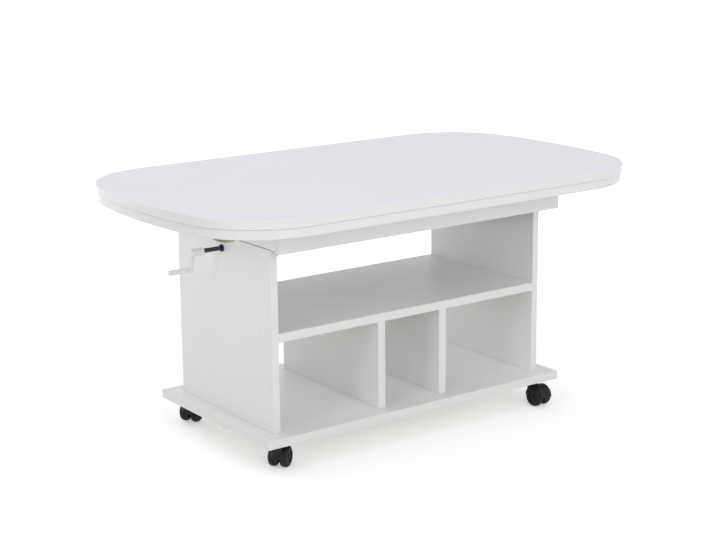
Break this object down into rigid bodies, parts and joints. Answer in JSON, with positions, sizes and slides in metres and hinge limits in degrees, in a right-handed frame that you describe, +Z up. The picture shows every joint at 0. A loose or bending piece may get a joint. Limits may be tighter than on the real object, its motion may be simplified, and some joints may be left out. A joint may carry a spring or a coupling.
{
  "type": "convertible coffee table",
  "caption": "White coffee table on casters with shelf and open bays; a crank scissor lift raises the top, which turns on its frame and folds out to dining size.",
  "frame": {"origin": "on the floor under the middle of the folded top", "axes": "+X along the table's length with the crank at -X, +Y towards the back, where the leaves are hinged, +Z up"},
  "size_m": [1.0998, 0.65, 0.538],
  "materials": {
    "white_board": "white melamine on chipboard, satin",
    "white_top": "white melamine on chipboard, satin, with a white edge band",
    "raw_board": "raw chipboard",
    "white_plastic": "satin",
    "light_plastic": "satin",
    "white_nylon": "matte",
    "black_plastic": "moulded, satin",
    "wheel_rubber": "moulded, satin",
    "dark_rod": "black, satin",
    "black_steel": "powder coated, black",
    "zinc_steel": "zinc plated"
  },
  "bodies": {
    "carcass": {"base_board": "white_board", "left_side_panel": "white_board", "right_side_panel": "white_board", "shelf_board": "white_board", "left_divider": "white_board", "right_divider": "white_board", "left_front_cap": "white_plastic", "left_rear_cap": "white_plastic", "right_front_cap": "white_plastic", "right_rear_cap": "white_plastic", "front_lower_channel": "black_steel", "rear_lower_channel": "black_steel", "left_bearing_plate": "black_steel", "right_bearing_plate": "black_steel", "crank_bush": "black_plastic", "front_left_caster_plate": "zinc_steel", "rear_left_caster_plate": "zinc_steel", "front_right_caster_plate": "zinc_steel", "rear_right_caster_plate": "zinc_steel"},
    "screw": {"lead_screw": "zinc_steel", "thrust_collar": "zinc_steel", "coupling_sleeve": "zinc_steel", "crank_rod": "dark_rod", "crank_arm": "light_plastic", "grip_pin": "zinc_steel"},
    "grip": {"crank_grip": "light_plastic"},
    "outer_arms": {"front_outer_arm": "black_steel", "rear_outer_arm": "black_steel", "middle_shaft": "zinc_steel"},
    "inner_arms": {"front_inner_arm": "black_steel", "rear_inner_arm": "black_steel"},
    "nut": {"drive_nut": "zinc_steel"},
    "frame": {"front_rail": "white_board", "rear_rail": "white_board", "left_rail": "white_board", "right_rail": "white_board", "front_upper_channel": "black_steel", "rear_upper_channel": "black_steel", "pivot_board": "raw_board", "swivel_washer": "white_nylon"},
    "lower_top": {"lower_leaf": "white_top", "swivel_pin": "zinc_steel", "swivel_nut": "zinc_steel", "left_hinge_base": "zinc_steel", "right_hinge_base": "zinc_steel"},
    "upper_top": {"upper_leaf": "white_top", "left_hinge_flap": "zinc_steel", "right_hinge_flap": "zinc_steel"},
    "front_upper_roller_body": {"front_upper_roller": "white_nylon"},
    "front_lower_roller_body": {"front_lower_roller": "white_nylon"},
    "rear_upper_roller_body": {"rear_upper_roller": "white_nylon"},
    "rear_lower_roller_body": {"rear_lower_roller": "white_nylon"},
    "front_left_swivel": {"front_left_caster_hood": "black_plastic"},
    "front_left_wheels": {"front_left_caster_wheels": "wheel_rubber"},
    "rear_left_swivel": {"rear_left_caster_hood": "black_plastic"},
    "rear_left_wheels": {"rear_left_caster_wheels": "wheel_rubber"},
    "front_right_swivel": {"front_right_caster_hood": "black_plastic"},
    "front_right_wheels": {"front_right_caster_wheels": "wheel_rubber"},
    "rear_right_swivel": {"rear_right_caster_hood": "black_plastic"},
    "rear_right_wheels": {"rear_right_caster_wheels": "wheel_rubber"}
  },
  "joints": [
    {"name": "lift", "type": "hinge", "parent": "carcass", "child": "outer_arms", "pos_m": [-0.20934, 0, 0.4197], "axis": [0, -1, 0], "range_deg": [0, 32.14]},
    {"name": "scissor_cross", "type": "hinge", "parent": "outer_arms", "child": "inner_arms", "pos_m": [-0.012, 0, 0.4522], "axis": [0, -1, 0], "range_deg": [-64.28, 0]},
    {"name": "frame_level", "type": "hinge", "parent": "inner_arms", "child": "frame", "pos_m": [-0.20934, 0, 0.4847], "axis": [0, -1, 0], "range_deg": [0, 32.14]},
    {"name": "nut_level", "type": "hinge", "parent": "inner_arms", "child": "nut", "pos_m": [0.18534, 0, 0.4197], "axis": [0, -1, 0], "range_deg": [0, 32.14]},
    {"name": "crank_turn", "type": "hinge", "parent": "carcass", "child": "screw", "pos_m": [-0.012, 0, 0.4197], "axis": [-1, 0, 0], "range_deg": [0, 8556]},
    {"name": "grip_spin", "type": "hinge", "parent": "screw", "child": "grip", "pos_m": [-0.4545, 0.00919, 0.38283], "axis": [1, 0, 0], "continuous": true},
    {"name": "top_swivel", "type": "hinge", "parent": "frame", "child": "lower_top", "pos_m": [0.1625, 0.1625, 0.4997], "axis": [0, 0, 1], "range_deg": [0, 90]},
    {"name": "leaf_fold", "type": "hinge", "parent": "lower_top", "child": "upper_top", "pos_m": [0, 0.32215, 0.51885], "axis": [-1, 0, 0], "range_deg": [0, 180]},
    {"name": "front_upper_roller_spin", "type": "hinge", "parent": "outer_arms", "child": "front_upper_roller_body", "pos_m": [0.18534, 0, 0.4847], "axis": [0, 1, 0], "continuous": true},
    {"name": "front_lower_roller_spin", "type": "hinge", "parent": "nut", "child": "front_lower_roller_body", "pos_m": [0.18534, 0, 0.4197], "axis": [0, 1, 0], "continuous": true},
    {"name": "rear_upper_roller_spin", "type": "hinge", "parent": "outer_arms", "child": "rear_upper_roller_body", "pos_m": [0.18534, 0, 0.4847], "axis": [0, 1, 0], "continuous": true},
    {"name": "rear_lower_roller_spin", "type": "hinge", "parent": "nut", "child": "rear_lower_roller_body", "pos_m": [0.18534, 0, 0.4197], "axis": [0, 1, 0], "continuous": true},
    {"name": "front_left_caster_swivel", "type": "hinge", "parent": "carcass", "child": "front_left_swivel", "pos_m": [-0.352, -0.174, 0.057], "axis": [0, 0, 1], "continuous": true},
    {"name": "front_left_wheel_spin", "type": "hinge", "parent": "front_left_swivel", "child": "front_left_wheels", "pos_m": [-0.33726, -0.16368, 0.0215], "axis": [-0.5736, 0.8192, 0], "continuous": true},
    {"name": "rear_left_caster_swivel", "type": "hinge", "parent": "carcass", "child": "rear_left_swivel", "pos_m": [-0.352, 0.174, 0.057], "axis": [0, 0, 1], "continuous": true},
    {"name": "rear_left_wheel_spin", "type": "hinge", "parent": "rear_left_swivel", "child": "rear_left_wheels", "pos_m": [-0.33641, 0.183, 0.0215], "axis": [-0.5, 0.866, 0], "continuous": true},
    {"name": "front_right_caster_swivel", "type": "hinge", "parent": "carcass", "child": "front_right_swivel", "pos_m": [0.328, -0.174, 0.057], "axis": [0, 0, 1], "continuous": true},
    {"name": "front_right_wheel_spin", "type": "hinge", "parent": "front_right_swivel", "child": "front_right_wheels", "pos_m": [0.32926, -0.19196, 0.0215], "axis": [0.9976, 0.0698, 0], "continuous": true},
    {"name": "rear_right_caster_swivel", "type": "hinge", "parent": "carcass", "child": "rear_right_swivel", "pos_m": [0.328, 0.174, 0.057], "axis": [0, 0, 1], "continuous": true},
    {"name": "rear_right_wheel_spin", "type": "hinge", "parent": "rear_right_swivel", "child": "rear_right_wheels", "pos_m": [0.34179, 0.18557, 0.0215], "axis": [-0.6428, 0.766, 0], "continuous": true}
  ],
  "couplings": [
    {"joint": "scissor_cross", "follows": "lift", "ratio": -2},
    {"joint": "frame_level", "follows": "lift", "ratio": 1},
    {"joint": "nut_level", "follows": "lift", "ratio": 1},
    {"joint": "crank_turn", "follows": "lift", "ratio": 266.19}
  ]
}
